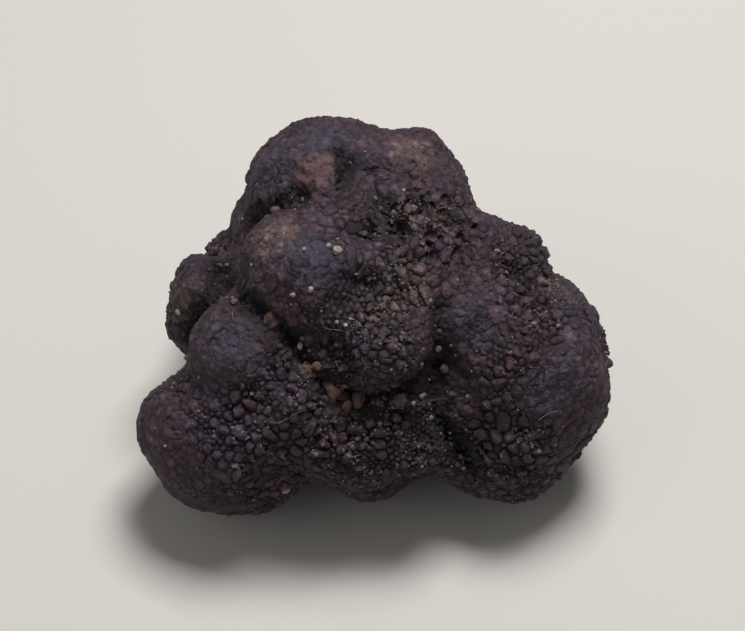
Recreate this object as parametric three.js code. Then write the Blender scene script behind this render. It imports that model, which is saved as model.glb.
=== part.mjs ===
// A black truffle: one lobed fruiting body whose rind is a net of polygonal warts.
// Millimetres, +Z up. The origin is on the flat spot that the truffle rests on, straight under its weight.
import * as THREE from "three";
import { ConvexHull } from "three/addons/math/ConvexHull.js";
import { ImprovedNoise } from "three/addons/math/ImprovedNoise.js";

const { clamp, degToRad, lerp, seededRandom, smoothstep } = THREE.MathUtils;

// Overall size
const WIDTH = 76; // the longest way across, left to right
const FLAT_SPOT_LEVEL = -24.2; // where the underside is pressed flat, below the body's middle

// The body
const LOOKING_DOWN = degToRad(50); // the tilt of the view that the front lobes are laid out in
const LOBE_BLEND = 1.1; // how softly two lobes run together: a small value leaves a sharp crease
const WARP_DEPTH = 2.2; // how far the round lobes are pulled out of true
const WARP_LENGTH = 13; // and over what distance
const KNOB_HEIGHT = 1.6; // the low knobs that each lobe swells into
const KNOB_LENGTH = 8.5;
const REACH = 50; // a distance from the middle that is outside the body all round

// The warts
const WART_GAP = 2.15; // the least distance between two tips when they are sown
const WART_HEIGHT = 1.4; // from the net of grooves to the tip of a full wart
const WORN_SHARE = 0.75; // what is left of that where a lobe is rubbed smooth
const WEAR_LENGTH = 16;
const CREASE_DEPTH = 3; // warts lie flatter where the rind folds in within this distance
const SOWN = 30000;
const EVENING_ROUNDS = 12;

// The corroded patch beside the crown, where some of the warts have rotted out into pits
const CORRODED = new THREE.Vector3(...fromView(9.5, 15.5, 12));
const CORRODED_RADIUS = 8;
const PITTED_SHARE = 0.3;
const PIT_DEPTH = 1.2;

// Lobes that face the viewer, as [across, up, towards the viewer, radius] in a view from in front and above
const FRONT_LOBES = [
  [-7.1, 18.6, 1, 13.2], // the smooth crown
  [5.3, 19.8, 1, 9.2],
  [-9.5, 4.6, 13, 12.3], // the shoulder under the crown
  [4.2, 5.2, 11, 11.4],
  [8, 13, 5, 8.5],
  [2.2, -4.5, 17, 9], // the middle
  [-11, -6.5, 13, 7],
  [-26.4, 3.7, 2, 6.3], // the small left knob
  [-20.6, -5, 12.5, 9.3], // the left cheek
  [-22.9, -18.5, 5, 13.8], // the large lower left lobe
  [-11.8, -16.7, 10, 9.5],
  [23.9, -7.4, 6, 13.6], // the large right lobe
  [20, 5, 5, 8.6],
  [12.5, 9.5, 7.5, 8.6],
  [13.5, 1, 12, 8.8],
  [21.5, -17.5, 4, 11.6], // the lower right lobe
  [29.5, -14, 1, 8],
  [-3.6, -19.6, 9, 8.4], // the row of small lobes along the lower edge
  [5.7, -19.6, 11, 7.2],
  [13, -20.5, 4, 7.5],
  [1, -14.5, 15, 5.3],
  [7.5, -13.5, 11.5, 6],
  [-0.7, -22, 2, 7.6],
  [0, 3, -1, 20], // the core
  [-13, -8, 0, 16],
  [13, -6, -3, 17],
  [0, -10, -3, 17.5],
];

// Lobes of the back, the sides and the underside, as [x, y, z, radius] from the body's middle
const BACK_LOBES = [
  [-12, 12, 2, 12.5],
  [2, 16, 5, 13],
  [13.5, 9, -2, 11],
  [27, 2, -5, 9.5],
  [-27, 2, -5, 8],
  [-18, 12, -8, 11.5],
  [2, 17, -8, 12],
  [16, 11, -10, 11.5],
  [0, 0, -9, 15.5], // the underside
  [-11, -4, -9, 14],
  [12, -3, -9, 14],
  [0, -11, -9, 13],
];

const noise = new ImprovedNoise();

// Where a point of the tilted view is from the body's middle
function fromView(across, up, near) {
  const sine = Math.sin(LOOKING_DOWN);
  const cosine = Math.cos(LOOKING_DOWN);
  return [across, up * sine - near * cosine, up * cosine + near * sine];
}

const lobes = [
  ...FRONT_LOBES.map(([across, up, near, radius]) => [...fromView(across, up, near), radius]),
  ...BACK_LOBES,
];

// How far a point is outside the body without its warts, or inside if it is negative
function outside({ x, y, z }) {
  const u = x / WARP_LENGTH;
  const v = y / WARP_LENGTH;
  const w = z / WARP_LENGTH;
  const px = x + WARP_DEPTH * noise.noise(u, v, w);
  const py = y + WARP_DEPTH * noise.noise(v + 31, w + 17, u + 5);
  const pz = z + WARP_DEPTH * noise.noise(w + 53, u + 71, v + 11);
  let sum = 0;
  for (const [cx, cy, cz, radius] of lobes)
    sum += Math.exp((radius - Math.hypot(px - cx, py - cy, pz - cz)) / LOBE_BLEND);
  const knob = Math.abs(noise.noise(x / KNOB_LENGTH, y / KNOB_LENGTH, z / KNOB_LENGTH));
  return -LOBE_BLEND * Math.log(sum) - KNOB_HEIGHT * knob;
}

// The way straight out of the body at a point
function outwards({ x, y, z }) {
  const step = 0.4;
  return new THREE.Vector3(
    outside({ x: x + step, y, z }) - outside({ x: x - step, y, z }),
    outside({ x, y: y + step, z }) - outside({ x, y: y - step, z }),
    outside({ x, y, z: z + step }) - outside({ x, y, z: z - step }),
  ).normalize();
}

// Moves a nearby point straight onto the body
function ontoBody(point) {
  for (let i = 0; i < 3; i++) point.addScaledVector(outwards(point), -0.9 * outside(point));
  return point;
}

// The outermost point of the body along a ray from its middle
function onBody(ray) {
  let distance = REACH;
  let gap = Infinity;
  while (gap > 0.01) {
    gap = outside(ray.clone().multiplyScalar(distance));
    distance -= 0.7 * gap;
  }
  return ray.clone().multiplyScalar(distance);
}

// Sows wart tips at random over the body, none nearer to another than the gap
function sowTips() {
  seededRandom(7);
  const tips = [];
  for (let i = 0; i < SOWN; i++) {
    const z = 2 * seededRandom() - 1;
    const ray = new THREE.Vector3().setFromSphericalCoords(1, Math.acos(z), 2 * Math.PI * seededRandom());
    const tip = onBody(ray);
    if (tips.every((other) => other.distanceTo(tip) > WART_GAP)) tips.push(tip);
  }
  return tips;
}

// The net between neighbouring tips: for each two that are joined, the tip on the left of the way between them
function joinTips(tips) {
  const rays = tips.map((tip) => tip.clone().normalize());
  const number = new Map(rays.map((ray, i) => [ray, i]));
  const net = tips.map(() => new Map());
  for (const face of new ConvexHull().setFromPoints(rays).faces) {
    const { edge } = face;
    const [a, b, c] = [edge, edge.next, edge.prev].map(({ vertex }) => number.get(vertex.point));
    addTriangle(net, a, b, c);
  }
  return net;
}

function addTriangle(net, a, b, c) {
  net[a].set(b, c);
  net[b].set(c, a);
  net[c].set(a, b);
}

// Joins the other two tips of a pair of triangles wherever they are the nearer ones
function rejoin(tips, net) {
  const angle = (at, a, b) => tips[a].clone().sub(tips[at]).angleTo(tips[b].clone().sub(tips[at]));
  for (let a = 0; a < tips.length; a++)
    for (const b of [...net[a].keys()]) {
      if (a > b || !net[a].has(b)) continue;
      const left = net[a].get(b);
      const right = net[b].get(a);
      const crowded = net[a].size < 4 || net[b].size < 4 || net[left].has(right);
      if (crowded || angle(left, a, b) + angle(right, a, b) < Math.PI + 0.01) continue;
      net[a].delete(b);
      net[b].delete(a);
      addTriangle(net, a, right, left);
      addTriangle(net, b, left, right);
    }
}

// Moves each tip to the middle of the tips round it
function evenOut(tips, net) {
  const middles = net.map((round) => {
    const middle = new THREE.Vector3();
    for (const other of round.keys()) middle.addScaledVector(tips[other], 1 / round.size);
    return middle;
  });
  tips.forEach((tip, i) => ontoBody(tip.lerp(middles[i], 0.6)));
}

// How high the warts stand at a point: full on a bulge, worn on some lobes, and lower down in a crease
function relief(point, normal) {
  const out = point.clone().addScaledVector(normal, CREASE_DEPTH);
  const open = clamp(outside(out) / CREASE_DEPTH, 0, 1);
  const wear = noise.noise(point.x / WEAR_LENGTH, point.y / WEAR_LENGTH, point.z / WEAR_LENGTH + 40);
  return WART_HEIGHT * open * lerp(WORN_SHARE, 1, smoothstep(wear, -0.3, 0.3));
}

// Each wart is a low pyramid: its tip stands out, and its corners lie in the grooves that it shares
function wartedBody() {
  const tips = sowTips();
  const net = joinTips(tips);
  for (let round = 0; round < EVENING_ROUNDS; round++) {
    rejoin(tips, net);
    evenOut(tips, net);
  }
  rejoin(tips, net);

  const places = tips.map((tip) => {
    const normal = outwards(tip);
    const height = relief(tip, normal) * lerp(0.35, 0.65, seededRandom());
    const rotten = tip.distanceTo(CORRODED) < CORRODED_RADIUS && seededRandom() < PITTED_SHARE;
    return tip.clone().addScaledVector(normal, rotten ? -PIT_DEPTH : height);
  });
  const corner = tips.map(() => new Map());
  net.forEach((round, a) => {
    for (const [b, c] of round) {
      if (a > b || a > c) continue;
      const middle = new THREE.Vector3();
      for (const i of [a, b, c]) middle.addScaledVector(tips[i], 1 / 3);
      const normal = outwards(ontoBody(middle));
      addCorner(corner, [a, b, c], places.length);
      places.push(middle.addScaledVector(normal, -relief(middle, normal) / 2));
    }
  });
  const index = [];
  corner.forEach((round, a) => {
    for (const [b, left] of round) index.push(a, corner[b].get(a), left);
  });
  return { places, index };
}

function addCorner(corner, [a, b, c], place) {
  corner[a].set(b, place);
  corner[b].set(c, place);
  corner[c].set(a, place);
}

// The centre of weight of a closed mesh
function balance({ places, index }) {
  const centre = new THREE.Vector3();
  let volume = 0;
  for (let i = 0; i < index.length; i += 3) {
    const [a, b, c] = [places[index[i]], places[index[i + 1]], places[index[i + 2]]];
    const part = a.dot(b.clone().cross(c)) / 6;
    volume += part;
    for (const point of [a, b, c]) centre.addScaledVector(point, part / 4);
  }
  return centre.divideScalar(volume);
}

// Presses the underside flat and puts the origin on it, under the weight
function settle({ places, index }) {
  for (const place of places) place.z = Math.max(place.z, FLAT_SPOT_LEVEL);
  const centre = balance({ places, index });
  const box = new THREE.Box3().setFromPoints(places);
  const size = WIDTH / (box.max.x - box.min.x);
  for (const place of places)
    place.set(place.x - centre.x, place.y - centre.y, place.z - FLAT_SPOT_LEVEL).multiplyScalar(size);
}

const body = wartedBody();
settle(body);

const geometry = new THREE.BufferGeometry().setFromPoints(body.places).setIndex(body.index);
geometry.computeVertexNormals();
const rind = new THREE.MeshStandardMaterial({ color: "#3b3436", roughness: 0.9, metalness: 0 });
const truffle = new THREE.Mesh(geometry, rind);
truffle.name = "truffle";

export default new THREE.Group().add(truffle);
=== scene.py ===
"""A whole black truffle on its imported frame: its warty rind, with the soil, sand and root hairs on it."""

import math
import random
from collections import Counter, namedtuple
from contextlib import contextmanager

import bpy
from bpy.props import FloatProperty, FloatVectorProperty, IntProperty, PointerProperty
from mathutils import Euler, Matrix, Vector, noise
from mathutils.bvhtree import BVHTree
from mathutils.kdtree import KDTree


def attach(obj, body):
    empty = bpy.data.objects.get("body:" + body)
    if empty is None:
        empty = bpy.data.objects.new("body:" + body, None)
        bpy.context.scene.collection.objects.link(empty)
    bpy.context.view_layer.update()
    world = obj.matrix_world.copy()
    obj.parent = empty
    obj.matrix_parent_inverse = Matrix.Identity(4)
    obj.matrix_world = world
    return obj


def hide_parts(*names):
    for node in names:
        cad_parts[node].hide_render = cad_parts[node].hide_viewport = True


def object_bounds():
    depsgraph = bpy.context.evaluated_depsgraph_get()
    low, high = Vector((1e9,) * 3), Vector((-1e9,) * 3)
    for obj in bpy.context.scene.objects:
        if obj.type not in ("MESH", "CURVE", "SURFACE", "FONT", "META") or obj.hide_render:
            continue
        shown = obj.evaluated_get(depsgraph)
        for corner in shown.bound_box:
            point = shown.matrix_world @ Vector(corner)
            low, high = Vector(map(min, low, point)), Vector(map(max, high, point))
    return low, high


bl_info = {
    "name": "Black truffle",
    "version": (1, 0, 0),
    "blender": (4, 5, 0),
    "location": "View3D > Sidebar > Truffle",
    "description": "Dresses the packed truffle with its warty rind and what clings to it",
    "category": "Object",
}

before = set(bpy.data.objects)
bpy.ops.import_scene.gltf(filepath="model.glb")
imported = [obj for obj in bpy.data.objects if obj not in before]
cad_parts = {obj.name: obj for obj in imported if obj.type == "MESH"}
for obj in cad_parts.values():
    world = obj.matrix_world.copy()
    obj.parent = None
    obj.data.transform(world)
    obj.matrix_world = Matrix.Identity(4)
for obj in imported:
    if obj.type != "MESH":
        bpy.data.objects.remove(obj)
CAD_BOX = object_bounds()
CAD_NODE = "truffle"
BODY = "root"
MM = 0.001

# The camera looks at the front from above, and places on the truffle are given in that view
VIEW_TILT = math.radians(50)
TO_RIGHT = Vector((1, 0, 0))
UPWARDS = Vector((0, math.sin(VIEW_TILT), math.cos(VIEW_TILT)))
TO_VIEWER = Vector((0, -math.cos(VIEW_TILT), math.sin(VIEW_TILT)))

# Places as (across, up) in millimetres from the middle of the outline that the camera sees
CORRODED_AT = [(9.5, 15.5)]
WORN_AT = [(-9, 25), (-14, 25), (5, 27), (-14, 11), (-21, 12)]  # on the crown and the shoulder under it
WORN_AT += [(-28, 3), (-24, -3), (-35, -20)]  # on the left knob, the left cheek and the lower left lobe
WORN_AT += [(14.5, -2), (32, -11)]  # on the right lobe
ROUGH_AT = [*CORRODED_AT, (0, 2), (-8, -9), (3, -14), (-3, -20), (10, -19)]  # the last two on the lower row
ROUGH_AT += [(-20, -17), (22, -4), (24, 3), (21, -20)]  # on the lower left lobe and the right ones
FILLED_AT = [(-18, -9), (-13.5, -10.5), (-5, 18), (2.5, 24), (-2.5, 7)]
CLODS_AT = [(-6, -11.2), (-4.6, -12.3), (-2, -12.8), (-10.2, -8.8), (-8.4, -7.8), (-15.3, -0.6), (1.2, -13.4)]
FLAKES_AT = [(-6.6, 10.5), (-5.4, 9.9), (-5.4, -1), (-4.1, -1.5), (-3.3, -0.4), (-12, 3.2), (-9.4, 3.9)]
FLAKES_AT += [(-11, -4.6), (8.9, -15.8), (6.3, -13.4), (-13.6, -27.3), (-30.6, 0.6), (28.6, -1.6)]
HAIRS_AT = [(14, 17), (-21.2, -0.9), (-1.5, -10.5), (25.5, -16), (-27, -10)]

# Patches of colour: their radius in millimetres, and their places in the same view
PATCHES = {
    "warm": (7, [(6, 5), (1.5, 2), (28.5, 4), (-15, 12.5), (6, 26), (-32, 2), (-28, 3), (11, 15), (5, 15.5)]),
    "purple": (7, [(-25, 7), (-33, -25), (-22, -29), (25, -3), (29, -17), (22, -23)]),
    "bloom": (7, [(-22, -4), (14.5, -2), (-21, -19), (28, -11), (-10, 9), (-7.5, 27.5), (-15, 23)]),
    # painted shade: these patches of the darkest colour lie in folds, in the crown's dent, in a hollow of the
    # middle and on the lower lobes
    "damp_and_painted_shade": (5, [(-5.2, 5.7), (8.5, -11.5), (-4, 24), (-12.5, -17), (15, -20), (-18, 2)]),
    "red_soil": (5.5, [(-8.7, 22.6)]),
}

# Routes of the sharp folds, in the same view
FOLD_ROUTES = [
    # Under the crown, and the dent in it
    [(-19, 15), (-15, 17.5), (-11, 18.5)],
    [(-5, 26), (-4, 23.5), (-4.5, 20.5)],
    # Over the left cheek, and beside the left knob
    [(-24, 7.5), (-24, 4), (-20, 2.5), (-16.5, -0.5), (-13.5, -2.5), (-11, -6), (-9.5, -8.5)],
    [(-24, 4), (-27.5, 0), (-29.5, -3)],
    # Under the middle, and beside the right lobe
    [(-9.5, -8.5), (-6, -12), (-1, -13.5), (3, -12.5), (7, -9.5), (10.5, -5.5)],
    [(10.5, 1), (10.8, -5), (10, -10), (10.5, -16), (13, -20), (15, -24)],
    # The five hollows of the corroded patch
    [(-0.7, 13.2), (-0.5, 12.8)],
    [(3, 13.4), (4.2, 12.6)],
    [(1.8, 17.6), (2.8, 16.2)],
    [(8, 17), (8.6, 16)],
    [(13, 15.8), (14, 15)],
]


def linear(code):
    """An sRGB hex colour as linear red, green and blue."""
    parts = [int(code[i : i + 2], 16) / 255 for i in (1, 3, 5)]
    return [p / 12.92 if p <= 0.04045 else ((p + 0.055) / 1.055) ** 2.4 for p in parts]


def colour(name, code, description):
    return FloatVectorProperty(
        name=name, description=description, default=linear(code), subtype="COLOR", size=3, min=0, max=1
    )


def length(name, millimetres, description):
    return FloatProperty(
        name=name, description=description, default=millimetres * MM, min=0, precision=5, unit="LENGTH"
    )


def power(name, watts, description):
    return FloatProperty(name=name, description=description, default=watts, min=0, unit="POWER")


def number(name, count, description):
    return IntProperty(name=name, description=description, default=count, min=0)


class RindSettings(bpy.types.PropertyGroup):
    wart_height: length("Wart height", 1.1, "From the grooves to the top of a full wart")
    groove_width: length("Groove width", 0.08, "From the bottom of a groove to the foot of a wart")
    shoulder_width: length("Shoulder width", 0.24, "From the foot of a wide wart in to its top")
    chipping: length("Chipping", 0.11, "How far the corners of the warts are out of true")
    lump_height: length("Lump height", 0.8, "How far the rind swells and sinks under its warts")
    lump_size: length("Lump size", 6.5, "How wide one swelling is")
    fold_depth: length("Fold depth", 2.2, "How far the rind is drawn in where lobes meet")
    crease_depth: length("Crease depth", 2.5, "How deep the sharp folds of the front are cut")
    pit_depth: length("Pit depth", 1.0, "How deep a wart that has rotted out is sunk")
    crumble: length("Crumble", 0.8, "How far the rough parts are wrinkled")
    rind: colour("Rind", "#352631", "The tops of the warts")
    # painted shade: the near-black colour that the grooves and the folds are darkened towards
    groove: colour("Grooves", "#0c060b", "The bottoms of the grooves")
    brown: colour("Brown warts", "#402b30", "The browner of the warts")
    dust: colour("Dust", "#53424d", "Dried soil rubbed over the rind")
    warm: colour("Warm patches", "#5f4e4b", "Where the dried soil is yellower")
    purple: colour("Purple patches", "#3b2830", "Where the rind is redder")
    bloom: colour("Bloom", "#3a3745", "Where the rind has a bluish bloom")
    # painted shade: the dark colour of the patches laid where the rind is shaded
    damp_and_painted_shade: colour("Damp patches", "#1e1b28", "Where the rind is damp and bare")
    red_soil: colour("Red soil", "#604544", "The patch of redder soil on the crown")


class DirtSettings(bpy.types.PropertyGroup):
    chip_size: length("Chip size", 0.48, "The width of a usual chip of rind")
    chips: number("Chips", 2800, "How many chips lie on the rough parts")
    crumb_size: length("Crumb size", 0.8, "The width of a usual crumb of soil")
    crumbs: number("Crumbs", 70, "How many crumbs lie in the folds")
    clod_size: length("Clod size", 2.5, "The width of a usual clod of soil")
    clods: number("Clods", 4, "How many clods lie in folds out of view")
    flake_size: length("Flake size", 1.1, "The width of a usual flake of lime")
    flakes: number("Flakes", 14, "How many flakes lie on the side out of view")
    grain_size: length("Grain size", 0.4, "The width of a usual grain of sand")
    grains: number("Grains", 130, "How many grains stick to the rind")
    hair_length: length("Root hair length", 7, "The length of a usual root hair")
    hair_width: length("Root hair width", 0.13, "The thickness of a root hair")
    hairs: number("Root hairs", 9, "How many lie anywhere, besides those placed in view")
    dark_chip: colour("Dark chips", "#281f26", "The darker chips of rind")
    pale_chip: colour("Pale chips", "#7b6c71", "The paler chips of rind")
    soil: colour("Soil", "#6f564f", "Dry clods and crumbs")
    lime: colour("Lime", "#a89d98", "Pale flakes")
    sand: colour("Sand", "#8f867e", "Pale quartz and lime")
    root: colour("Root hairs", "#7f7263", "Dried root hairs")


class StageSettings(bpy.types.PropertyGroup):
    distance: length("Camera distance", 480, "From the truffle's middle")
    lens: FloatProperty(name="Lens", description="Focal length", default=140, min=10, unit="CAMERA")
    floor_size: length("Floor size", 6000, "The width of the floor")
    key_power: power("Main light", 3.1, "Power of the main light")
    fill_power: power("Fill light", 0.5, "Power of the fill light")
    sky: FloatProperty(name="Sky", description="Brightness of the surroundings", default=0.16, min=0)
    floor: colour("Floor", "#cfcbc5", "The plain floor")


def pick(*objects):
    """Selects these objects alone, and makes the last one active."""
    bpy.ops.object.select_all(action="DESELECT")
    for item in objects:
        item.select_set(True)
    bpy.context.view_layer.objects.active = objects[-1]


@contextmanager
def editing(piece, kind="FACE"):
    """Edit mode on one piece, with its selection as it was left."""
    pick(piece)
    bpy.context.tool_settings.mesh_select_mode = [kind == name for name in ("VERT", "EDGE", "FACE")]
    bpy.ops.object.mode_set(mode="EDIT")
    yield
    bpy.ops.object.mode_set(mode="OBJECT")


@contextmanager
def editing_all(piece, kind="FACE"):
    """Edit mode on one piece, with all of it selected."""
    with editing(piece, kind):
        bpy.ops.mesh.select_all(action="SELECT")
        yield


def select(piece, kind, test):
    """Selects the vertices, edges or faces of a piece that pass a test, and nothing else."""
    with editing(piece, kind):
        bpy.ops.mesh.select_all(action="DESELECT")
    mesh = piece.data
    for element in {"VERT": mesh.vertices, "EDGE": mesh.edges, "FACE": mesh.polygons}[kind]:
        element.select = test(element)


def apply_modifier(piece, kind, **settings):
    pick(piece)
    bpy.ops.object.modifier_add(type=kind)
    modifier = piece.modifiers[-1]
    for name, value in settings.items():
        setattr(modifier, name, value)
    bpy.ops.object.modifier_apply(modifier=modifier.name)


def clouds(name, size, kind="SOFT_NOISE"):
    texture = bpy.data.textures.new(name, "CLOUDS")
    texture.noise_scale = size
    texture.noise_depth = 2
    texture.noise_type = kind
    return texture


def swell(piece, texture, height):
    """Moves a piece's surface out and in along its normals, by a texture's pattern."""
    apply_modifier(piece, "DISPLACE", strength=height, texture=texture, texture_coords="LOCAL")


def push(piece, name, distance, shares, texture=None):
    """Moves vertices along their normals by their shares of a distance, in a texture's pattern if any."""
    group = piece.vertex_groups.new(name=name)
    for vertex, share in shares.items():
        group.add([vertex], share, "REPLACE")
    apply_modifier(
        piece,
        "DISPLACE",
        strength=distance,
        mid_level=0.5 if texture else 0,
        texture=texture,
        texture_coords="LOCAL",
        vertex_group=name,
    )
    piece.vertex_groups.clear()


def surface_tree(piece):
    mesh = piece.data
    return BVHTree.FromPolygons([v.co for v in mesh.vertices], [p.vertices[:] for p in mesh.polygons])


def outline_middle():
    """The middle of the truffle's outline as the camera sees it."""
    places = [v.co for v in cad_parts[CAD_NODE].data.vertices]
    middle = Vector()
    for axis in (TO_RIGHT, UPWARDS):
        along = [place.dot(axis) for place in places]
        middle += axis * (min(along) + max(along)) / 2
    return middle


OUTLINE_MIDDLE = outline_middle()


def seen_at(tree, across, up):
    """The place and normal on the surface that the camera sees at (across, up) in millimetres."""
    start = OUTLINE_MIDDLE + TO_RIGHT * across * MM + UPWARDS * up * MM + TO_VIEWER
    place, normal, _, _ = tree.ray_cast(start, -TO_VIEWER)
    if place is None:
        raise RuntimeError(f"nothing of the truffle is seen at {across}, {up}")
    return place, normal


def point_tree(points):
    """Points in a form that the nearest one is soon found in."""
    tree = KDTree(len(points))
    for i, point in enumerate(points):
        tree.insert(point, i)
    tree.balance()
    return tree


def seen_points(tree, places):
    """The points on the surface that the camera sees at some places."""
    return point_tree([seen_at(tree, *place)[0] for place in places])


def nearness(place, points, radius):
    """1 at the nearest of some points, down to 0 at a radius from it."""
    return max(0, 1 - points.find(place)[2] / radius)


def rise(value, low, high):
    """How far a value has come from low to high, as a share."""
    return min(1, max(0, (value - low) / (high - low)))


# The rind's surface: its valleys and folds

MERGE_DISTANCE = 0.001 * MM
SMOOTHING = {"factor": 0.5, "iterations": 2}
FILL_HEIGHT, FILL_RADIUS = 2.2 * MM, 7 * MM
FOLD_REACH = 18 * MM  # a fold is judged by the rays that leave it freely within this distance
SKY_RAYS = 28
SKY_START = 0.4 * MM  # the rays start this far above the surface
SKY_NEIGHBOURS = 4  # a wart sees as much as the mean of this many points round it
FOLD_SKY = 0.5  # where no more of the sky is seen, the rind is drawn in as far as it goes
CREASE_REACH = 2.3 * MM
CREASE_SHARPNESS = 1.5
CREASE_SHADE, CREASE_SHADE_REACH = 0.75, 1.2 * CREASE_REACH  # how much of the sky a crease takes away, which lowers its warts and darkens it with painted shade


def even_surface(name):
    """The CAD solid's surface without its pyramids: one vertex for each tip and each corner of them."""
    piece = bpy.data.objects.new(name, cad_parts[CAD_NODE].data.copy())
    bpy.context.scene.collection.objects.link(piece)
    piece.data.materials.clear()
    with editing_all(piece):
        bpy.ops.mesh.remove_doubles(threshold=MERGE_DISTANCE)
    apply_modifier(piece, "SMOOTH", **SMOOTHING)
    return piece


def fill_valleys(piece):
    valleys = seen_points(surface_tree(piece), FILLED_AT)
    shares = {v.index: nearness(v.co, valleys, FILL_RADIUS) for v in piece.data.vertices}
    push(piece, "filled", FILL_HEIGHT, shares)


def sky_share(tree, place, normal):
    """The share of rays from a place that leave it freely."""
    turn = Vector((0, 0, 1)).rotation_difference(normal)
    free = 0
    for i in range(SKY_RAYS):
        height = (i + 0.5) / SKY_RAYS
        spread = math.sqrt(1 - height * height)
        angle = i * math.pi * (3 - math.sqrt(5))
        ray = turn @ Vector((spread * math.cos(angle), spread * math.sin(angle), height))
        free += tree.ray_cast(place + normal * SKY_START, ray, FOLD_REACH)[0] is None
    return free / SKY_RAYS


def draw_in_folds(piece, depth):
    """Draws the rind in where little sky is seen. Gives how much is seen, and the points it's seen from."""
    tree = surface_tree(piece)
    skies = [sky_share(tree, vertex.co, vertex.normal) for vertex in piece.data.vertices]
    points = point_tree([vertex.co for vertex in piece.data.vertices])
    push(piece, "folds", -depth, {i: rise(sky, 1, FOLD_SKY) for i, sky in enumerate(skies)})
    return skies, points


def fold_points(tree):
    """Points on the surface along the routes of the sharp folds, about a millimetre apart."""
    points = []
    for route in FOLD_ROUTES:
        for start, end in zip(route, route[1:]):
            steps = math.ceil(math.dist(start, end))
            for i in range(steps + 1):
                across, up = [a + (b - a) * i / steps for a, b in zip(start, end)]
                points.append(seen_at(tree, across, up)[0])
    return point_tree(points)


def cut_creases(piece, creases, depth):
    shares = {v.index: nearness(v.co, creases, CREASE_REACH) ** CREASE_SHARPNESS for v in piece.data.vertices}
    push(piece, "creases", -depth, shares)


# The net of its warts, still flat

COARSE_SIZE = 9 * MM  # the size of the patches where most warts are wide
JOINED_THREES, JOINED_PAIRS = 2500, 900
THREES_SEED, PAIRS_SEED = 5, 6
JOINED_SHARE, JOINED_SPREAD = 0.55, 1.1  # how readily polygons are joined, and how much that changes
NET_JITTER, NET_SEED = 0.1 * MM, 11
LEAST_EDGE = 0.16 * MM


def dissolve_vertices(piece, test):
    select(piece, "VERT", test)
    with editing(piece, "VERT"):
        bpy.ops.mesh.dissolve_verts()


def refine(piece):
    """Puts a vertex in each triangle and joins these across the old edges. Gives how many are old."""
    old = len(piece.data.vertices)
    with editing_all(piece):
        bpy.ops.mesh.poke()
    select(piece, "EDGE", lambda edge: max(edge.vertices) < old)
    with editing(piece, "EDGE"):
        bpy.ops.mesh.edge_rotate(use_ccw=False)
    return old


def draw_net(piece):
    """Makes a net of small even polygons, one round each vertex of the refined surface."""
    refine(piece)
    middles = refine(piece)
    dissolve_vertices(piece, lambda vertex: vertex.index < middles)


def join_polygons(piece, kind, wanted, seed):
    """Joins the polygons that meet at some vertices or edges, more of them where the rind is coarse."""
    draw = random.Random(seed)
    mesh = piece.data
    beside = {}
    for face in mesh.polygons:
        for key in face.vertices if kind == "VERT" else face.edge_keys:
            beside.setdefault(key, []).append(face.index)
    order = list(beside)
    draw.shuffle(order)
    taken, joined = set(), set()
    for key in order:
        corner = mesh.vertices[key if kind == "VERT" else key[0]].co
        coarse = JOINED_SHARE + JOINED_SPREAD * noise.noise(corner / COARSE_SIZE)
        if len(joined) < wanted and draw.random() < coarse and not taken.intersection(beside[key]):
            joined.add(key)
            taken.update(beside[key])
    if kind == "VERT":
        dissolve_vertices(piece, lambda vertex: vertex.index in joined)
    else:
        select(piece, "EDGE", lambda edge: edge.key in joined)
        with editing(piece, "EDGE"):
            bpy.ops.mesh.dissolve_edges(use_verts=False)
    meeting = Counter(vertex for edge in mesh.edges for vertex in edge.vertices)
    dissolve_vertices(piece, lambda vertex: meeting[vertex.index] == 2)


def relax_net(piece):
    """Lets the net pull itself even, as a foam does, which leaves large and small polygons."""
    with editing_all(piece, "VERT"):
        bpy.ops.transform.vertex_random(offset=NET_JITTER, uniform=0, normal=0, seed=NET_SEED)
    apply_modifier(piece, "SMOOTH", **SMOOTHING)
    with editing_all(piece, "VERT"):
        bpy.ops.mesh.remove_doubles(threshold=LEAST_EDGE)


# The warts: how worn, high or rotten each of them is

WARTS_SEED = 2
PATCH_SIZE = 7 * MM  # the size of the worn and rough patches that no place is given for
USUAL_WEAR, WEAR_SPREAD = 0.5, 0.75
WORN_RADIUS, WORN_GAIN = 12 * MM, 1.4
ROUGH_RADIUS = 9 * MM
CORRODED_RADIUS, DECAY_GAIN = 8.5 * MM, 2.2
ROTTEN_SHARE = 0.36
FLATTENED_BY_WEAR, FLATTENED_BY_DECAY = 0.75, 0.5
CLOSED_SKY, OPEN_SKY = 0.3, 0.8  # warts are higher the more of the sky they see, within these shares
LEAST_IN_FOLD = 0.2  # the share of their height that they keep at the bottom of a fold
FULL_WART = 2.0 * MM * MM  # narrower warts are lower
LEAST_HEIGHT, MOST_HEIGHT, USUAL_HEIGHT = 0.2, 1, 0.8  # as shares of the full height

Wart = namedtuple("Wart", "tone sky worn height rotten")


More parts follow.
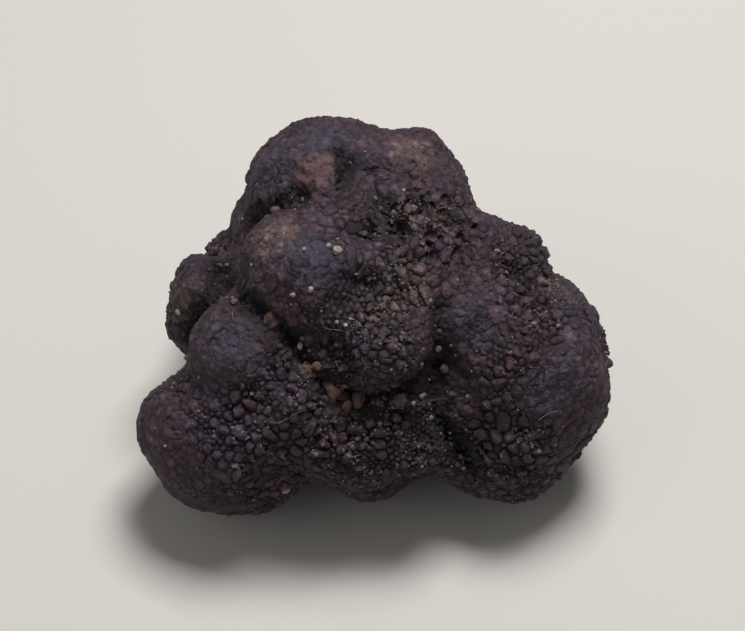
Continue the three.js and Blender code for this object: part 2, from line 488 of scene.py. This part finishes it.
def judge_warts(piece, tree, creases, skies, sky_points):
    """Tells how each polygon of the net is as a wart, by its place and its size."""
    worn_points = seen_points(tree, WORN_AT)
    rough_points = seen_points(tree, ROUGH_AT)
    corroded = seen_points(tree, CORRODED_AT)
    draw = random.Random(WARTS_SEED)
    warts = []
    for face in piece.data.polygons:
        place = face.center.copy()
        # the sky a wart sees sets its height, and paints shade on it where little is seen, more so in a
        # crease
        sky = sum(skies[near] for _, near, _ in sky_points.find_n(place, SKY_NEIGHBOURS)) / SKY_NEIGHBOURS
        sky -= CREASE_SHADE * nearness(place, creases, CREASE_SHADE_REACH)
        worn = USUAL_WEAR + WEAR_SPREAD * noise.noise(place / PATCH_SIZE)
        worn += WORN_GAIN * nearness(place, worn_points, WORN_RADIUS)
        worn -= nearness(place, rough_points, ROUGH_RADIUS)
        worn = rise(worn, 0, 1)
        decay = min(1, DECAY_GAIN * nearness(place, corroded, CORRODED_RADIUS))
        tone = draw.random()
        height = max(LEAST_IN_FOLD, rise(sky, CLOSED_SKY, OPEN_SKY)) * (1 - FLATTENED_BY_DECAY * decay)
        height *= min(1, math.sqrt(face.area / FULL_WART)) * (1 - FLATTENED_BY_WEAR * worn)
        height *= draw.triangular(LEAST_HEIGHT, MOST_HEIGHT, USUAL_HEIGHT)
        rotten = draw.random() < ROTTEN_SHARE * decay
        warts.append(Wart(tone, sky, worn, height, rotten))
    return warts


# How the warts are cut and raised

WIDE_WART = 2.6 * MM * MM  # wider warts have a shoulder
WORN_LIMIT = 0.5  # warts that are less worn have wider grooves
ROUGH_GROOVE = 1.7
FOOT, SHOULDER, TIP = 0.42, 0.85, 1.0  # the share of a wart's height that each step of it has
PIT_SHADE = 0.6  # the floor of a pit has the colours of a wart at this share of its height
WRINKLE_SIZE = 1.7 * MM
CHIPPING_SEED = 4
FLOOR_GAP = 0.02 * MM
SHARP_ANGLE = math.radians(26)


def inset_selected(piece, width):
    """Insets each selected face by itself, and returns the vertices of the inner faces."""
    with editing(piece):
        bpy.ops.mesh.inset(thickness=width, use_individual=True, use_even_offset=True)
    return {vertex for face in piece.data.polygons if face.select for vertex in face.vertices}


def wart_numbers(mesh):
    """The number of the wart that each face is of."""
    return [item.value for item in mesh.attributes["wart"].data]


def is_top(face, steps):
    """Whether a face is the inner one of its wart: only there are all corners on one step."""
    return len({steps.get(vertex) for vertex in face.vertices}) == 1


def cut_step(piece, steps, share_of_height, width, test):
    """Insets the tops of the warts that pass a test, and notes the new corners' share of the height."""
    numbers = wart_numbers(piece.data)
    select(piece, "FACE", lambda face: is_top(face, steps) and test(numbers[face.index]))
    steps.update(dict.fromkeys(inset_selected(piece, width), share_of_height))


def cut_warts(piece, settings, warts):
    """Cuts the grooves, slopes and tips of the warts, still flat. Gives each corner's share of the height."""
    steps = {}
    mesh = piece.data
    own_numbers = mesh.attributes.new("wart", "INT", "FACE")
    own_numbers.data.foreach_set("value", range(len(mesh.polygons)))
    wide = {face.index for face in mesh.polygons if face.area > WIDE_WART}
    groove = settings.groove_width
    cut_step(piece, steps, FOOT, groove, lambda wart: warts[wart].worn > WORN_LIMIT)
    cut_step(piece, steps, FOOT, ROUGH_GROOVE * groove, lambda wart: warts[wart].worn <= WORN_LIMIT)
    cut_step(piece, steps, SHOULDER, settings.shoulder_width, lambda wart: wart in wide)
    before = len(mesh.vertices)
    select(piece, "FACE", lambda face: is_top(face, steps))
    with editing(piece):
        bpy.ops.mesh.poke()
    steps.update(dict.fromkeys(range(before, len(mesh.vertices)), TIP))
    return steps


def wart_shares(mesh, warts, steps):
    """By vertex: how far sound warts are raised, how far rotten ones are sunk, and how rough both are."""
    raised, sunk, rough = {}, {}, {}
    for face, number in zip(mesh.polygons, wart_numbers(mesh)):
        wart = warts[number]
        for vertex in face.vertices:
            rough[vertex] = 1 - wart.worn
            if vertex in steps and wart.rotten:
                sunk[vertex] = steps[vertex]
            elif vertex in steps:
                raised[vertex] = steps[vertex] * wart.height
    return raised, sunk, rough


def paint(mesh, name, domain, values):
    attribute = mesh.attributes.new(name, "FLOAT", domain)
    attribute.data.foreach_set("value", values)


def paint_rind(mesh, tree, warts, steps, sunk):
    """Adds the attributes that the rind's finish goes by: those of its warts, and the patches of colour."""
    heights = [PIT_SHADE if i in sunk else steps.get(i, 0) for i in range(len(mesh.vertices))]
    paint(mesh, "height", "POINT", heights)
    owners = [warts[number] for number in wart_numbers(mesh)]
    for name in ("tone", "sky", "worn"):
        paint(mesh, name, "FACE", [getattr(wart, name) for wart in owners])
    for name, (radius, places) in PATCHES.items():
        points = seen_points(tree, places)
        paint(mesh, name, "POINT", [nearness(v.co, points, radius * MM) for v in mesh.vertices])


def flatten_underside(piece):
    """Presses what reaches the floor flat onto it."""
    select(piece, "VERT", lambda vertex: vertex.co.z < FLOOR_GAP)
    with editing(piece, "VERT"):
        bpy.ops.transform.resize(value=(1, 1, 0), center_override=(0, 0, 0))


class TRUFFLE_OT_rind(bpy.types.Operator):
    """Makes the rind from the CAD solid's surface, wart by wart"""

    bl_idname = "truffle.rind"
    bl_label = "Warty rind"

    def execute(self, context):
        settings = context.scene.truffle_rind
        rind = even_surface("rind")
        fill_valleys(rind)
        swell(rind, clouds("lumps", settings.lump_size), settings.lump_height)
        swell(rind, clouds("knobs", settings.lump_size / 2), settings.lump_height / 2)
        skies, sky_points = draw_in_folds(rind, settings.fold_depth)

        draw_net(rind)
        join_polygons(rind, "VERT", JOINED_THREES, THREES_SEED)
        join_polygons(rind, "EDGE", JOINED_PAIRS, PAIRS_SEED)
        relax_net(rind)
        tree = surface_tree(rind)
        creases = fold_points(tree)
        cut_creases(rind, creases, settings.crease_depth)

        warts = judge_warts(rind, tree, creases, skies, sky_points)
        steps = cut_warts(rind, settings, warts)
        mesh = rind.data
        raised, sunk, rough = wart_shares(mesh, warts, steps)
        paint_rind(mesh, tree, warts, steps, sunk)
        mesh.attributes.remove(mesh.attributes["wart"])
        push(rind, "raised", settings.wart_height, raised)
        push(rind, "sunk", -settings.pit_depth, sunk)
        push(rind, "rough", settings.crumble, rough, clouds("wrinkles", WRINKLE_SIZE, "HARD_NOISE"))
        with editing_all(rind, "VERT"):
            bpy.ops.transform.vertex_random(offset=settings.chipping, uniform=0, normal=0, seed=CHIPPING_SEED)
        flatten_underside(rind)
        pick(rind)
        bpy.ops.object.shade_smooth_by_angle(angle=SHARP_ANGLE)
        rind.data.materials.append(rind_material(settings))
        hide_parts(CAD_NODE)
        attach(rind, BODY)
        return {"FINISHED"}


# The dirt on the rind

DIRT_CLEARANCE = 3 * MM  # no dirt lies nearer to the floor
SIZE_SPREAD = 0.32  # how much the sizes of copies differ
LEAST_STRETCH, MOST_STRETCH = 0.7, 1.1
GRIT_PATCH_SIZE = 3.5 * MM
GRIT_SPREAD = 0.3  # the greater, the wider are the patches of grit
CRUMB_SKY = 0.9  # crumbs keep to folds that see less of the sky
CRUMBS_ELSEWHERE = 0.01
GRAIN_SKY = 1.1  # grains lie everywhere, and most of them in folds
CLOD_LUMP_SIZE, CLOD_LUMP_HEIGHT = 0.45, 0.55  # as shares of a clod's width
HAIR_STEPS = 9
SHORTEST_HAIR, LONGEST_HAIR = 0.6, 1.3  # as shares of the usual length
HAIR_TAPER = 0.7
HAIR_CLEARANCE = 0.22 * MM
HAIR_CLIMB = 0.3 * MM  # each step of a hair looks for the surface from this far above it
HAIR_BEND, HAIR_WAVER = 0.25, 0.15  # in radians for each step: the bend at first, and how it changes

# Each kind of dirt has a seed of its own, so that a change to one leaves the others as they are
SEEDS = {"grit": 5, "crumbs": 8, "clods": 17, "flakes": 33, "grains": 21, "hairs": 14}


def begin_dirt(context, name):
    """What a kind of dirt is laid by: the settings, the rind and its own random draws."""
    return context.scene.truffle_dirt, bpy.data.objects["rind"], random.Random(SEEDS[name])


def scatter(draw, piece, count, wanted):
    """Draws places and normals on a piece's faces, each as often as it is wanted, but none near the floor."""
    faces = [face for face in piece.data.polygons if face.center.z > DIRT_CLEARANCE]
    chosen = draw.choices(faces, [face.area * wanted(face) for face in faces], k=count)
    return [(face.center.copy(), face.normal.copy()) for face in chosen]


def faces_away(face, least):
    """Whether a face is turned away from the camera by at least a share."""
    return face.normal.dot(TO_VIEWER) < -least


def lay_copies(draw, pattern, places, size, sink):
    """Copies a pattern to each place, turned at random and sunk in a little, and joins the copies."""
    copies = []
    for place, normal in places:
        copy = pattern.copy()
        copy.data = pattern.data.copy()
        bpy.context.scene.collection.objects.link(copy)
        width = size * draw.lognormvariate(0, SIZE_SPREAD)
        turn = Euler([draw.uniform(0, 2 * math.pi) for _ in range(3)]).to_matrix().to_4x4()
        stretch = Matrix.Diagonal((*[draw.uniform(LEAST_STRETCH, MOST_STRETCH) for _ in range(3)], 1))
        copy.matrix_world = Matrix.Translation(place + normal * width * (0.5 - sink)) @ turn @ stretch
        copy.matrix_world = copy.matrix_world @ Matrix.Scale(width, 4)
        copies.append(copy)
    bpy.data.objects.remove(pattern)
    pick(*copies)
    bpy.ops.object.transform_apply(location=True, rotation=True, scale=True)
    bpy.ops.object.join()
    return bpy.context.object


def pebble(name, subdivisions, roughness, seed):
    """One irregular lump a unit wide."""
    bpy.ops.object.select_all(action="DESELECT")
    bpy.ops.mesh.primitive_ico_sphere_add(subdivisions=subdivisions, radius=0.5)
    piece = bpy.context.object
    piece.name = name
    with editing_all(piece, "VERT"):
        bpy.ops.transform.vertex_random(offset=roughness, uniform=0, normal=0.6, seed=seed)
    return piece


def finish_dirt(piece, name, material):
    piece.name = name
    piece.data.materials.append(material)
    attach(piece, BODY)


class TRUFFLE_OT_grit(bpy.types.Operator):
    """Lays chips of broken warts on the rough parts of the rind"""

    bl_idname = "truffle.grit"
    bl_label = "Grit"

    def execute(self, context):
        settings, rind, draw = begin_dirt(context, "grit")
        worn = rind.data.attributes["worn"].data

        def wanted(face):
            gathered = max(0, GRIT_SPREAD + noise.noise(face.center / GRIT_PATCH_SIZE))
            return gathered * (1 - worn[face.index].value) ** 2

        places = scatter(draw, rind, settings.chips, wanted)
        chip = pebble("chip", subdivisions=1, roughness=0.15, seed=2)
        grit = lay_copies(draw, chip, places, settings.chip_size, sink=0.5)
        finish_dirt(grit, "grit", grit_material(settings))
        return {"FINISHED"}


class TRUFFLE_OT_soil_crumbs(bpy.types.Operator):
    """Lays crumbs of soil in the folds"""

    bl_idname = "truffle.soil_crumbs"
    bl_label = "Soil crumbs"

    def execute(self, context):
        settings, rind, draw = begin_dirt(context, "crumbs")
        sky = rind.data.attributes["sky"].data

        def wanted(face):
            return max(CRUMBS_ELSEWHERE, CRUMB_SKY - sky[face.index].value) ** 3

        places = scatter(draw, rind, settings.crumbs, wanted)
        crumb = pebble("crumb", subdivisions=2, roughness=0.09, seed=3)
        crumbs = lay_copies(draw, crumb, places, settings.crumb_size, sink=0.35)
        finish_dirt(crumbs, "soil_crumbs", soil_material("dried loam", settings.soil, damp_share=0.4))
        return {"FINISHED"}


class TRUFFLE_OT_soil_clods(bpy.types.Operator):
    """Lays clods of soil in the folds round the middle, and in folds out of view"""

    bl_idname = "truffle.soil_clods"
    bl_label = "Soil clods"

    def execute(self, context):
        settings, rind, draw = begin_dirt(context, "clods")
        tree = surface_tree(rind)
        sky = rind.data.attributes["sky"].data

        def wanted(face):
            return max(0, 1 - sky[face.index].value) ** 3 * faces_away(face, 0.3)

        places = [seen_at(tree, *place) for place in CLODS_AT]
        places += scatter(draw, rind, settings.clods, wanted)
        clod = pebble("clod", subdivisions=3, roughness=0.03, seed=3)
        swell(clod, clouds("clod lumps", CLOD_LUMP_SIZE), CLOD_LUMP_HEIGHT)
        clods = lay_copies(draw, clod, places, settings.clod_size, sink=0.5)
        finish_dirt(clods, "soil_clods", soil_material("dried clay", settings.soil, damp_share=0.55))
        return {"FINISHED"}


class TRUFFLE_OT_lime_flakes(bpy.types.Operator):
    """Lays pale flakes of lime on the rind"""

    bl_idname = "truffle.lime_flakes"
    bl_label = "Lime flakes"

    def execute(self, context):
        settings, rind, draw = begin_dirt(context, "flakes")
        tree = surface_tree(rind)
        places = [seen_at(tree, *place) for place in FLAKES_AT]
        places += scatter(draw, rind, settings.flakes, lambda face: faces_away(face, 0.5))
        flake = pebble("flake", subdivisions=1, roughness=0.16, seed=9)
        flakes = lay_copies(draw, flake, places, settings.flake_size, sink=0.4)
        finish_dirt(flakes, "lime_flakes", soil_material("lime", settings.lime, damp_share=0.6))
        return {"FINISHED"}


class TRUFFLE_OT_sand_grains(bpy.types.Operator):
    """Sticks grains of sand to the rind"""

    bl_idname = "truffle.sand_grains"
    bl_label = "Sand grains"

    def execute(self, context):
        settings, rind, draw = begin_dirt(context, "grains")
        sky = rind.data.attributes["sky"].data
        places = scatter(draw, rind, settings.grains, lambda face: GRAIN_SKY - sky[face.index].value)
        grain = pebble("grain", subdivisions=1, roughness=0.12, seed=6)
        grains = lay_copies(draw, grain, places, settings.grain_size, sink=0.25)
        finish_dirt(grains, "sand_grains", sand_material(settings))
        return {"FINISHED"}


def crawl(draw, tree, place, normal, step):
    """A wandering path over the surface, a little above it."""
    heading = normal.orthogonal()
    heading.rotate(Matrix.Rotation(draw.uniform(0, 2 * math.pi), 3, normal))
    path = []
    bend = draw.uniform(-HAIR_BEND, HAIR_BEND)
    for _ in range(HAIR_STEPS):
        path.append(place + normal * HAIR_CLEARANCE)
        bend += draw.uniform(-HAIR_WAVER, HAIR_WAVER)
        heading.rotate(Matrix.Rotation(bend, 3, normal))
        heading = (heading - normal * heading.dot(normal)).normalized()
        place, normal, _, _ = tree.find_nearest(place + heading * step + normal * HAIR_CLIMB)
    return path


def add_hair(path, width):
    """A thread along a path, thinner towards its end."""
    bpy.ops.object.select_all(action="DESELECT")
    bpy.ops.curve.primitive_nurbs_path_add()
    curve = bpy.context.object.data
    points = curve.splines[0].points
    points.add(len(path) - len(points))
    for i, (point, place) in enumerate(zip(points, path)):
        point.co = (*place, 1)
        point.radius = 1 - HAIR_TAPER * i / len(path)
    curve.resolution_u = 2
    curve.bevel_depth = width / 2
    curve.bevel_resolution = 1
    curve.use_fill_caps = True
    bpy.ops.object.convert(target="MESH")
    return bpy.context.object


class TRUFFLE_OT_root_hairs(bpy.types.Operator):
    """Lays dried root hairs over the rind"""

    bl_idname = "truffle.root_hairs"
    bl_label = "Root hairs"

    def execute(self, context):
        settings, rind, draw = begin_dirt(context, "hairs")
        tree = surface_tree(rind)
        places = [seen_at(tree, *place) for place in HAIRS_AT]
        places += scatter(draw, rind, settings.hairs, lambda face: 1)
        hairs = []
        for place, normal in places:
            step = settings.hair_length * draw.uniform(SHORTEST_HAIR, LONGEST_HAIR) / HAIR_STEPS
            path = crawl(draw, tree, place, normal, step)
            hairs.append(add_hair(path, settings.hair_width))
        pick(*hairs)
        bpy.ops.object.join()
        bpy.ops.object.shade_smooth()
        finish_dirt(bpy.context.object, "root_hairs", root_material(settings))
        return {"FINISHED"}


# Materials

SMOOTH = {"interpolation_type": "SMOOTHSTEP"}
COLOURS = {"output": "Result_Color", "data_type": "RGBA"}
SPECK_SIZE = 0.8 * MM
FACET_SIZE, FACET_DEPTH = 0.9 * MM, 0.4 * MM
GRAIN_DEPTH = 0.3 * MM
SOIL_GRAIN_SIZE, SOIL_GRAIN_DEPTH = 0.25 * MM, 0.1 * MM

# The noises that the rind's finish goes by: the width of their blots, their detail and their roughness
RIND_NOISES = {
    "blots": (9 * MM, 5, 0.6),
    "mottle": (2.4 * MM, 4, 0.7),
    "frayed": (1.6 * MM, 5, 0.75),
    "fine": (0.7 * MM, 4, 0.7),
    "grain": (0.4 * MM, 3, 0.7),
}


def add_node(tree, kind, inputs=None, output=None, **settings):
    """Adds a shader node with its settings and its inputs' values or links, and gives one of its outputs."""
    node = tree.nodes.new("ShaderNode" + kind)
    for name, value in settings.items():
        setattr(node, name, value)
    sockets = {socket.identifier: socket for socket in node.inputs}
    for name, value in (inputs or {}).items():
        if isinstance(value, bpy.types.NodeSocket):
            tree.links.new(value, sockets[name])
        elif sockets[name].type == "RGBA":
            sockets[name].default_value = (*value, 1)
        else:
            sockets[name].default_value = value
    outputs = {socket.identifier: socket for socket in node.outputs}
    return outputs[output] if output else node.outputs[0]


def new_material(name, roughness=0.5):
    material = bpy.data.materials.new(name)
    material.use_nodes = True
    tree = material.node_tree
    shader = tree.nodes["Principled BSDF"]
    shader.inputs["Roughness"].default_value = roughness
    return material, tree, shader


def coat(tree, under, over, where, none, full, most=1.0):
    """Lays a colour over another: none of it where a value is at none, and the most where it is at full."""
    inputs = {"Value": where, "From Min": none, "From Max": full, "To Max": most}
    share = add_node(tree, "MapRange", inputs, **SMOOTH)
    inputs = {"Factor_Float": share, "A_Color": under, "B_Color": over}
    return add_node(tree, "Mix", inputs, **COLOURS)


def shade(tree, colours, where, low, high, darkest, brightest):
    """Makes colours darker where a value is low and brighter where it is high."""
    inputs = {"Value": where, "From Min": low, "From Max": high, "To Min": darkest, "To Max": brightest}
    light = add_node(tree, "MapRange", inputs, **SMOOTH)
    grey = add_node(tree, "CombineColor", {"Red": light, "Green": light, "Blue": light})
    inputs = {"Factor_Float": 1, "A_Color": colours, "B_Color": grey}
    return add_node(tree, "Mix", inputs, blend_type="MULTIPLY", **COLOURS)


def in_blots(tree, dark, light, size, detail, harshness=0.6, none=0.35, full=0.65):
    """Two colours in blots about a size wide."""
    place = add_node(tree, "TexCoord", output="Object")
    inputs = {"Vector": place, "Scale": 1 / size, "Detail": detail, "Roughness": harshness}
    return coat(tree, dark, light, add_node(tree, "TexNoise", inputs), none, full)


def rind_patterns(tree, place):
    """What the rind's finish goes by: the attributes of its warts, the patches of colour, and the noises."""
    patterns = {}
    for name in ("height", "tone", "sky", "worn", *PATCHES):
        patterns[name] = add_node(tree, "Attribute", output="Fac", attribute_name=name)
    for name, (size, detail, harshness) in RIND_NOISES.items():
        inputs = {"Vector": place, "Scale": 1 / size, "Detail": detail, "Roughness": harshness}
        patterns[name] = add_node(tree, "TexNoise", inputs)
    inputs = {"Value": patterns["mottle"], "From Min": 0.45, "From Max": 0.6}
    patterns["spots"] = add_node(tree, "MapRange", inputs, **SMOOTH)
    return patterns


def dust_paler_on_top(tree, patterns):
    """How much of the pale dust colour a place takes: more the more it faces up, and in blots, mottles and
    fine grain.
    """
    normal = add_node(tree, "NewGeometry", output="Normal")
    upward = add_node(tree, "SeparateXYZ", {"Vector": normal}, "Z")
    # the colour grows paler the more a place faces up
    inputs = {"Value": upward, "From Min": -0.5, "From Max": 0.5, "To Min": 0.3, "To Max": 0.9}
    dust = add_node(tree, "MapRange", inputs, **SMOOTH)
    for name, least in (("blots", 0.1), ("mottle", 0.25), ("fine", 0.4)):
        inputs = {"Value": patterns[name], "From Min": 0.36, "From Max": 0.64, "To Min": least}
        share = add_node(tree, "MapRange", inputs, **SMOOTH)
        dust = add_node(tree, "Math", {"Value": dust, "Value_001": share}, operation="MULTIPLY")
    return dust


def wart_colours(tree, settings, patterns, dust):
    """The colours of the warts, each of its own tone, with dust, frayed patches, the darkest of which are
    painted shade, and a painted highlight on their tips.
    """
    colours = coat(tree, settings.rind, settings.brown, patterns["tone"], none=0.35, full=0.95)
    colours = coat(tree, colours, settings.bloom, patterns["blots"], none=0.5, full=0.65, most=0.7)
    colours = coat(tree, colours, settings.purple, patterns["blots"], none=0.5, full=0.35, most=0.7)
    inputs = {"Factor_Float": dust, "A_Color": colours, "B_Color": settings.dust}
    colours = add_node(tree, "Mix", inputs, **COLOURS)
    # the patches of the darkest colour are painted shade
    for name in PATCHES:
        inputs = {"Value": patterns[name], "Value_001": patterns["frayed"]}
        ragged = add_node(tree, "Math", inputs, operation="ADD")
        colours = coat(tree, colours, getattr(settings, name), ragged, none=0.7, full=1.2, most=0.75)
    colours = shade(tree, colours, patterns["tone"], 0, 1, darkest=0.75, brightest=1.25)
    colours = shade(tree, colours, patterns["fine"], 0.3, 0.7, darkest=0.7, brightest=1.3)
    # painted highlight: the tips of the warts are brightened in spots
    tips = add_node(tree, "MapRange", {"Value": patterns["height"], "From Min": 0.8}, **SMOOTH)
    tip_highlight = add_node(tree, "Math", {"Value": tips, "Value_001": patterns["spots"]}, operation="MULTIPLY")
    return shade(tree, colours, tip_highlight, 0, 1, darkest=0.95, brightest=1.9)


def unshaded_share(tree, patterns):
    """How little a place lies in the painted shade of a groove or a fold, where it takes the groove colour.
    Grooves in worn parts are filled in spots.
    """
    inputs = {"Value": patterns["worn"], "Value_001": patterns["mottle"]}
    wear = add_node(tree, "Math", inputs, operation="ADD")
    inputs = {"Value": wear, "From Min": 0.75, "From Max": 1.4, "To Min": 0.2, "To Max": 0.95}
    filled = add_node(tree, "MapRange", inputs, **SMOOTH)
    # painted shade: the lower a place lies on its wart, the more of the groove colour it takes
    wart = add_node(tree, "MapRange", {"Value": patterns["height"], "From Max": 0.7}, **SMOOTH)
    on_top = add_node(tree, "Math", {"Value": wart, "Value_001": filled}, operation="MAXIMUM")
    # painted shade: the less of the sky a place sees, the more of the groove colour it takes
    inputs = {"Value": patterns["sky"], "Value_001": patterns["frayed"]}
    ragged_sky = add_node(tree, "Math", inputs, operation="ADD")
    inputs = {"Value": ragged_sky, "From Min": 0.9, "From Max": 1.45, "To Min": 0.15}
    out_of_painted_fold_shade = add_node(tree, "MapRange", inputs, **SMOOTH)
    return add_node(tree, "Math", {"Value": on_top, "Value_001": out_of_painted_fold_shade}, operation="MULTIPLY")


def speckled(tree, colours, specks, place, patterns):
    """Colours with small round specks of another colour, gathered in spots."""
    distance = add_node(tree, "TexVoronoi", {"Vector": place, "Scale": 1 / SPECK_SIZE}, "Distance")
    inputs = {"Value": distance, "From Min": 0.22, "From Max": 0.1, "To Max": 0.8}
    dots = add_node(tree, "MapRange", inputs, **SMOOTH)
    share = add_node(tree, "Math", {"Value": dots, "Value_001": patterns["spots"]}, operation="MULTIPLY")
    inputs = {"Factor_Float": share, "A_Color": colours, "B_Color": specks}
    return add_node(tree, "Mix", inputs, **COLOURS)


def rind_bump(tree, place, patterns):
    """Grain too fine to model, and the facets that it breaks in."""
    inputs = {"Height": patterns["grain"], "Distance": GRAIN_DEPTH, "Strength": 0.9}
    grain = add_node(tree, "Bump", inputs)
    facets = add_node(tree, "TexVoronoi", {"Vector": place, "Scale": 1 / FACET_SIZE}, "Distance")
    inputs = {"Height": facets, "Distance": FACET_DEPTH, "Strength": 0.8, "Normal": grain}
    return add_node(tree, "Bump", inputs, invert=True)


def rind_material(settings):
    """The outer rind of a ripe truffle: hard, matt and almost black, with dried soil rubbed into it."""
    material, tree, shader = new_material("truffle rind, brushed")
    place = add_node(tree, "TexCoord", output="Object")
    patterns = rind_patterns(tree, place)
    dust = dust_paler_on_top(tree, patterns)
    warts = wart_colours(tree, settings, patterns, dust)
    # painted shade: the grooves and the folds are darkened towards the groove colour
    inputs = {"Factor_Float": unshaded_share(tree, patterns), "A_Color": settings.groove, "B_Color": warts}
    colours = add_node(tree, "Mix", inputs, **COLOURS)
    colours = speckled(tree, colours, settings.warm, place, patterns)
    inputs = {"Value": dust, "From Max": 0.6, "To Min": 0.66, "To Max": 0.95}
    dullness = add_node(tree, "MapRange", inputs, **SMOOTH)
    tree.links.new(colours, shader.inputs["Base Color"])
    tree.links.new(dullness, shader.inputs["Roughness"])
    tree.links.new(rind_bump(tree, place, patterns), shader.inputs["Normal"])
    shader.inputs["Specular IOR Level"].default_value = 0.4
    return material


def soil_material(name, dry, damp_share):
    """Dried soil: matt and grainy, and darker in blots that are still wet, down to a share of its brightness.
    """
    material, tree, shader = new_material(name, roughness=0.95)
    # the colour of the wet blots of soil
    damp_and_painted_shade = [value * damp_share for value in dry]
    tree.links.new(in_blots(tree, damp_and_painted_shade, dry, size=2.2 * MM, detail=4), shader.inputs["Base Color"])
    place = add_node(tree, "TexCoord", output="Object")
    inputs = {"Vector": place, "Scale": 1 / SOIL_GRAIN_SIZE, "Detail": 3, "Roughness": 0.6}
    grain = add_node(tree, "TexNoise", inputs)
    bump = add_node(tree, "Bump", {"Height": grain, "Distance": SOIL_GRAIN_DEPTH, "Strength": 0.8})
    tree.links.new(bump, shader.inputs["Normal"])
    return material


def grit_material(settings):
    """Chips of rind and soil: matt, and of all shades between the rind and its dust."""
    material, tree, shader = new_material("rind chips", roughness=0.85)
    dark, pale = settings.dark_chip, settings.pale_chip
    chips = in_blots(tree, dark, pale, size=1.1 * MM, detail=3, harshness=0.7, none=0.38, full=0.68)
    tree.links.new(chips, shader.inputs["Base Color"])
    return material


def sand_material(settings):
    """Quartz and lime sand: pale, with a few yellow and grey grains, and a little gloss."""
    material, tree, shader = new_material("quartz sand", roughness=0.45)
    yellow = [value * kept for value, kept in zip(settings.sand, (0.5, 0.42, 0.3))]
    grains = in_blots(tree, yellow, settings.sand, size=3 * MM, detail=2, full=0.6)
    tree.links.new(grains, shader.inputs["Base Color"])
    return material


def root_material(settings):
    """Dried root hairs: straw-coloured and dull."""
    material, tree, shader = new_material("dried root hair", roughness=0.8)
    dark = [value * 0.35 for value in settings.root]
    tree.links.new(in_blots(tree, dark, settings.root, size=1.5 * MM, detail=3), shader.inputs["Base Color"])
    return material


def floor_material(settings):
    """Plain matt paper."""
    material, _, shader = new_material("matt paper", roughness=0.9)
    shader.inputs["Base Color"].default_value = (*settings.floor, 1)
    return material


# The stage, in metres: the main light hangs above and a little behind, and the fill light at the left

MAIN_LIGHT_AT, MAIN_LIGHT_SIZE = Vector((0.08, 0.13, 0.54)), 0.22
FILL_LIGHT_AT, FILL_LIGHT_SIZE = Vector((-0.5, -0.25, 0.35)), 0.5
NEAREST_SEEN = 0.01


def add_light(name, place, size, watts):
    bpy.ops.object.light_add(type="AREA", location=place)
    light = bpy.context.object
    light.name = name
    light.data.energy = watts
    light.data.size = size
    middle = Vector((0, 0, (CAD_BOX[0].z + CAD_BOX[1].z) / 2))
    light.rotation_euler = (middle - place).to_track_quat("-Z", "Y").to_euler()


class TRUFFLE_OT_stage(bpy.types.Operator):
    """Sets up the floor, the lights and the camera"""

    bl_idname = "truffle.stage"
    bl_label = "Stage"

    def execute(self, context):
        settings = context.scene.truffle_stage
        bpy.ops.object.select_all(action="DESELECT")
        bpy.ops.mesh.primitive_plane_add(size=settings.floor_size)
        floor = context.object
        floor.name = "floor"
        floor.data.materials.append(floor_material(settings))

        add_light("main light", MAIN_LIGHT_AT, MAIN_LIGHT_SIZE, settings.key_power)
        add_light("fill light", FILL_LIGHT_AT, FILL_LIGHT_SIZE, settings.fill_power)
        world = context.scene.world or bpy.data.worlds.new("surroundings")
        context.scene.world = world
        world.use_nodes = True
        background = world.node_tree.nodes["Background"]
        background.inputs["Color"].default_value = (1, 1, 1, 1)
        background.inputs["Strength"].default_value = settings.sky

        bpy.ops.object.camera_add(location=OUTLINE_MIDDLE + TO_VIEWER * settings.distance)
        camera = context.object
        camera.rotation_euler = (-TO_VIEWER).to_track_quat("-Z", "Y").to_euler()
        camera.data.lens = settings.lens
        camera.data.clip_start = NEAREST_SEEN
        context.scene.camera = camera
        context.scene.view_settings.view_transform = "Standard"
        return {"FINISHED"}


class TRUFFLE_PT_panel(bpy.types.Panel):
    bl_label = "Black truffle"
    bl_idname = "TRUFFLE_PT_panel"
    bl_space_type = "VIEW_3D"
    bl_region_type = "UI"
    bl_category = "Truffle"

    def draw(self, context):
        for operator in OPERATORS:
            self.layout.operator(operator.bl_idname)
        for name in SETTINGS:
            group = getattr(context.scene, name)
            box = self.layout.box()
            for key in group.__annotations__:
                box.prop(group, key)


OPERATORS = [
    TRUFFLE_OT_rind,
    TRUFFLE_OT_grit,
    TRUFFLE_OT_soil_crumbs,
    TRUFFLE_OT_soil_clods,
    TRUFFLE_OT_lime_flakes,
    TRUFFLE_OT_sand_grains,
    TRUFFLE_OT_root_hairs,
    TRUFFLE_OT_stage,
]
SETTINGS = {"truffle_rind": RindSettings, "truffle_dirt": DirtSettings, "truffle_stage": StageSettings}


def register():
    for name, group in SETTINGS.items():
        bpy.utils.register_class(group)
        setattr(bpy.types.Scene, name, PointerProperty(type=group))
    for item in [*OPERATORS, TRUFFLE_PT_panel]:
        bpy.utils.register_class(item)


def unregister():
    for item in [TRUFFLE_PT_panel, *reversed(OPERATORS)]:
        bpy.utils.unregister_class(item)
    for name, group in SETTINGS.items():
        delattr(bpy.types.Scene, name)
        bpy.utils.unregister_class(group)


def main():
    register()
    bpy.ops.truffle.rind()
    bpy.ops.truffle.grit()
    bpy.ops.truffle.soil_crumbs()
    bpy.ops.truffle.soil_clods()
    bpy.ops.truffle.lime_flakes()
    bpy.ops.truffle.sand_grains()
    bpy.ops.truffle.root_hairs()
    bpy.ops.truffle.stage()


if __name__ == "__main__":
    main()
